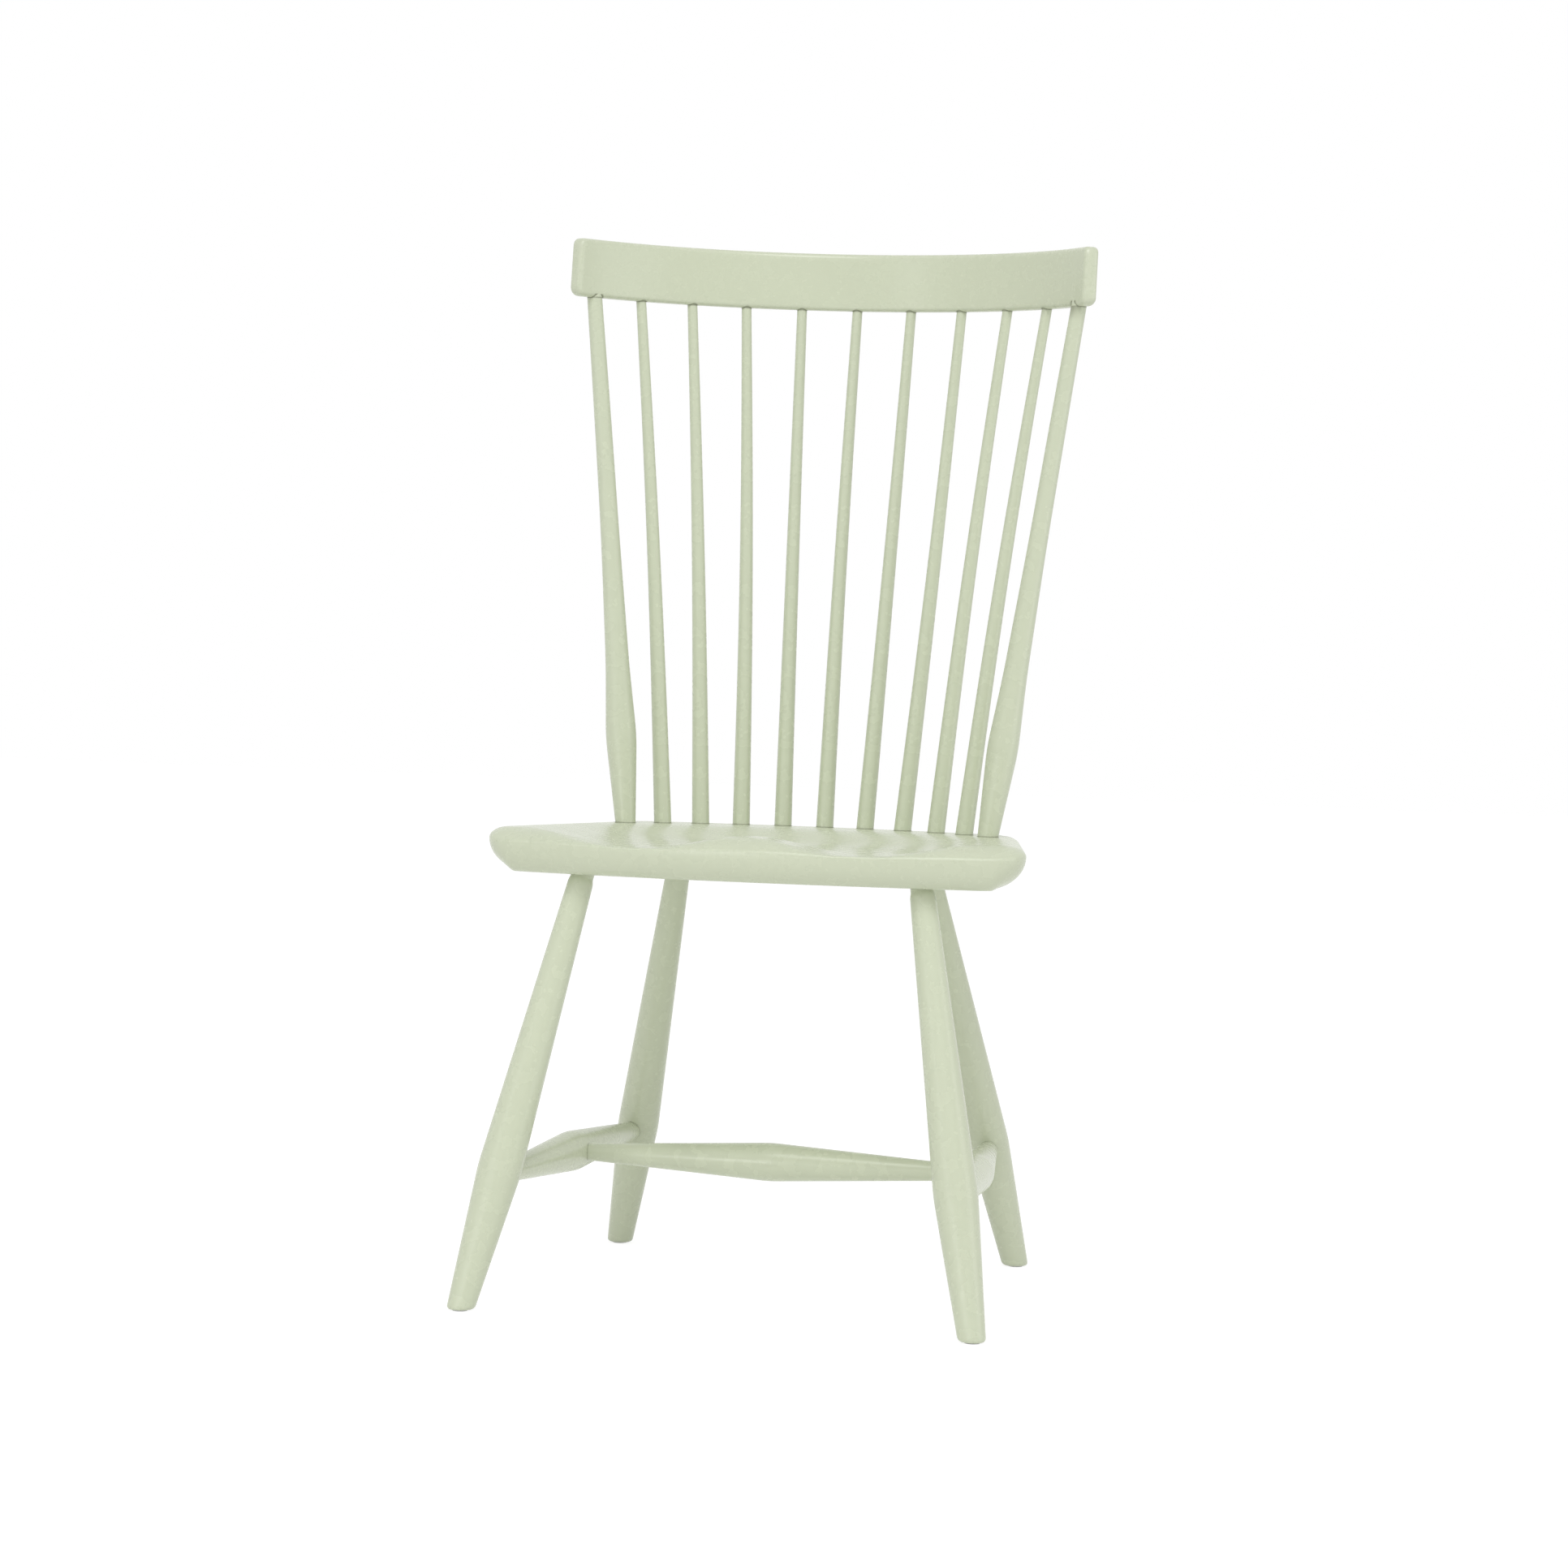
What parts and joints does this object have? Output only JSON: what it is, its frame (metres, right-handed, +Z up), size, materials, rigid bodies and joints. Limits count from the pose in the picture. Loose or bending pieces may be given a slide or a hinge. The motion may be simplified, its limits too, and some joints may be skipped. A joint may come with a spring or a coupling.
{
  "type": "windsor chair",
  "caption": "High-backed Windsor side chair with a shaped plank seat, raked turned legs on an H stretcher, a fan of round sticks and a bent crest rail.",
  "frame": {"origin": "on the floor, under the middle of the chair's bounding box", "axes": "+X towards the sitter's left, -Y towards the front of the seat, +Z up"},
  "size_m": [0.541, 0.581, 1.0357],
  "materials": {
    "painted_wood": "satin sage-green paint on hardwood",
    "pin_steel": "plain wire pin",
    "glide_plastic": "pale grey moulded plastic"
  },
  "bodies": {
    "root": {"seat": "painted_wood", "front_left_leg": "painted_wood", "front_right_leg": "painted_wood", "rear_left_leg": "painted_wood", "rear_right_leg": "painted_wood", "left_side_stretcher": "painted_wood", "right_side_stretcher": "painted_wood", "centre_stretcher": "painted_wood", "stick_1": "painted_wood", "stick_2": "painted_wood", "stick_3": "painted_wood", "stick_4": "painted_wood", "stick_5": "painted_wood", "stick_6": "painted_wood", "stick_7": "painted_wood", "stick_8": "painted_wood", "stick_9": "painted_wood", "left_back_post": "painted_wood", "right_back_post": "painted_wood", "crest_rail": "painted_wood", "crest_pins": "pin_steel", "front_left_glide": "glide_plastic", "front_right_glide": "glide_plastic", "rear_left_glide": "glide_plastic", "rear_right_glide": "glide_plastic"}
  },
  "joints": []
}
